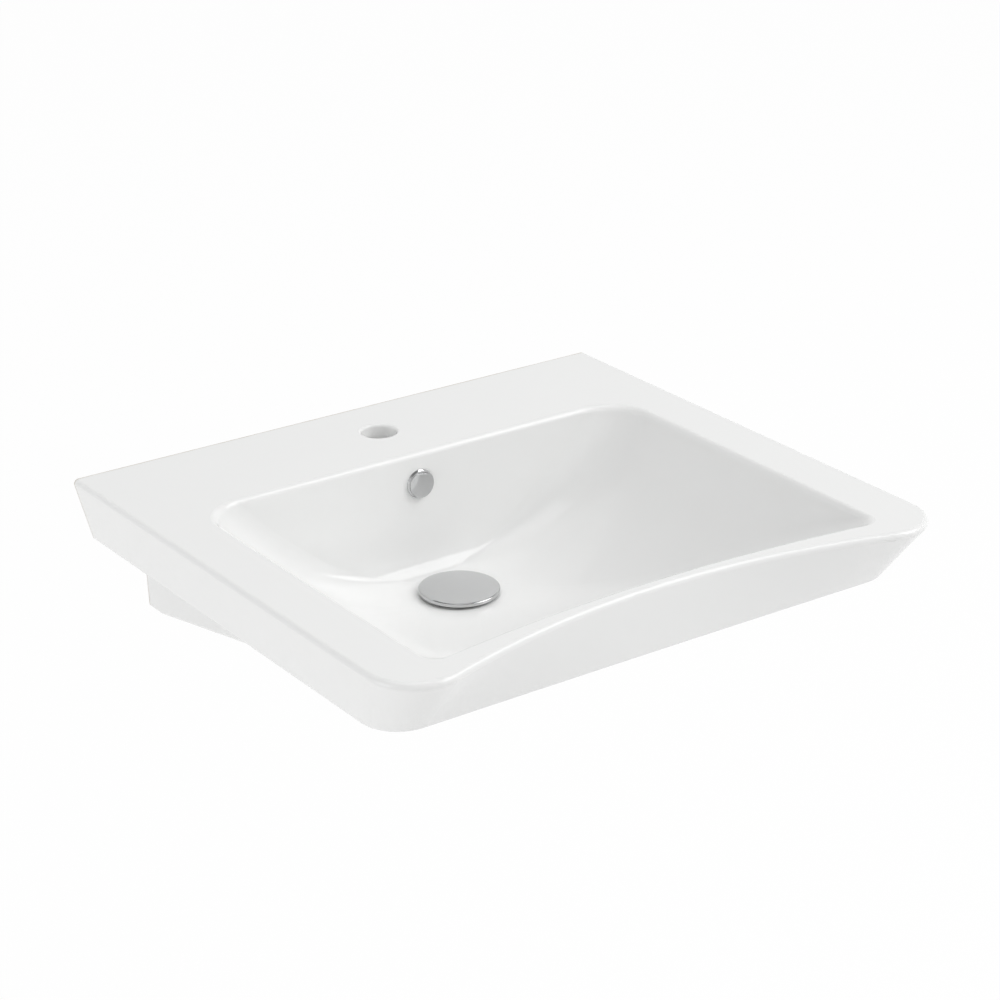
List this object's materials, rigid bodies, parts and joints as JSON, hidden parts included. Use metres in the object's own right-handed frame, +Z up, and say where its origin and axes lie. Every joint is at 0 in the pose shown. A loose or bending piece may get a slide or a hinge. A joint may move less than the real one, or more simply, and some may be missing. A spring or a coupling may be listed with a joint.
{
  "type": "washbasin",
  "caption": "Wall-hung ceramic washbasin with a wide deck, tap hole, overflow, push-open waste and wall fixings; the rounded skirt grows shallower towards the front",
  "frame": {"origin": "on the wall face of the casting, midway between its two fixing bolts", "axes": "X along the wall, Y into the wall and away from the user, Z up"},
  "size_m": [0.6, 0.6118, 0.2125],
  "materials": {
    "white_glaze": "glossy",
    "chrome_plate": "polished",
    "raw_brass": "satin",
    "zinc_steel": "satin",
    "black_rubber": "matte",
    "white_plastic": "matte",
    "grey_plastic": "matte"
  },
  "bodies": {
    "basin": {"basin_ceramic": "white_glaze", "overflow_ring": "chrome_plate", "overflow_cover": "chrome_plate", "waste_body": "chrome_plate", "flange_gasket": "black_rubber", "lower_seal": "black_rubber", "slip_washer": "white_plastic", "back_nut": "raw_brass", "cartridge_housing": "white_plastic", "cartridge_base": "white_plastic", "cartridge_nut": "raw_brass", "click_spring": "zinc_steel", "wall_studs": "zinc_steel", "stud_bushes": "grey_plastic", "stud_washers": "zinc_steel", "stud_nuts": "zinc_steel", "nut_caps": "white_plastic"},
    "plunger": {"plunger_rod": "raw_brass"},
    "cap": {"waste_cap": "chrome_plate", "cap_seal": "black_rubber", "cap_lock_nut": "raw_brass"},
    "cam": {"click_cam": "grey_plastic"}
  },
  "joints": [
    {"name": "cap_lift", "type": "slide", "parent": "basin", "child": "plunger", "axis": [0, 0, 1], "range_m": [0, 0.009], "deforming": ["click_spring"]},
    {"name": "cap_turn", "type": "hinge", "parent": "plunger", "child": "cap", "pos_m": [0, -0.2005, 0], "axis": [0, 0, 1], "continuous": true},
    {"name": "cam_turn", "type": "hinge", "parent": "plunger", "child": "cam", "pos_m": [0, -0.2005, 0], "axis": [0, 0, 1], "range_deg": [0, 60.2]}
  ],
  "couplings": [
    {"joint": "cam_turn", "follows": "cap_lift", "rad_per_m": 116.3}
  ]
}
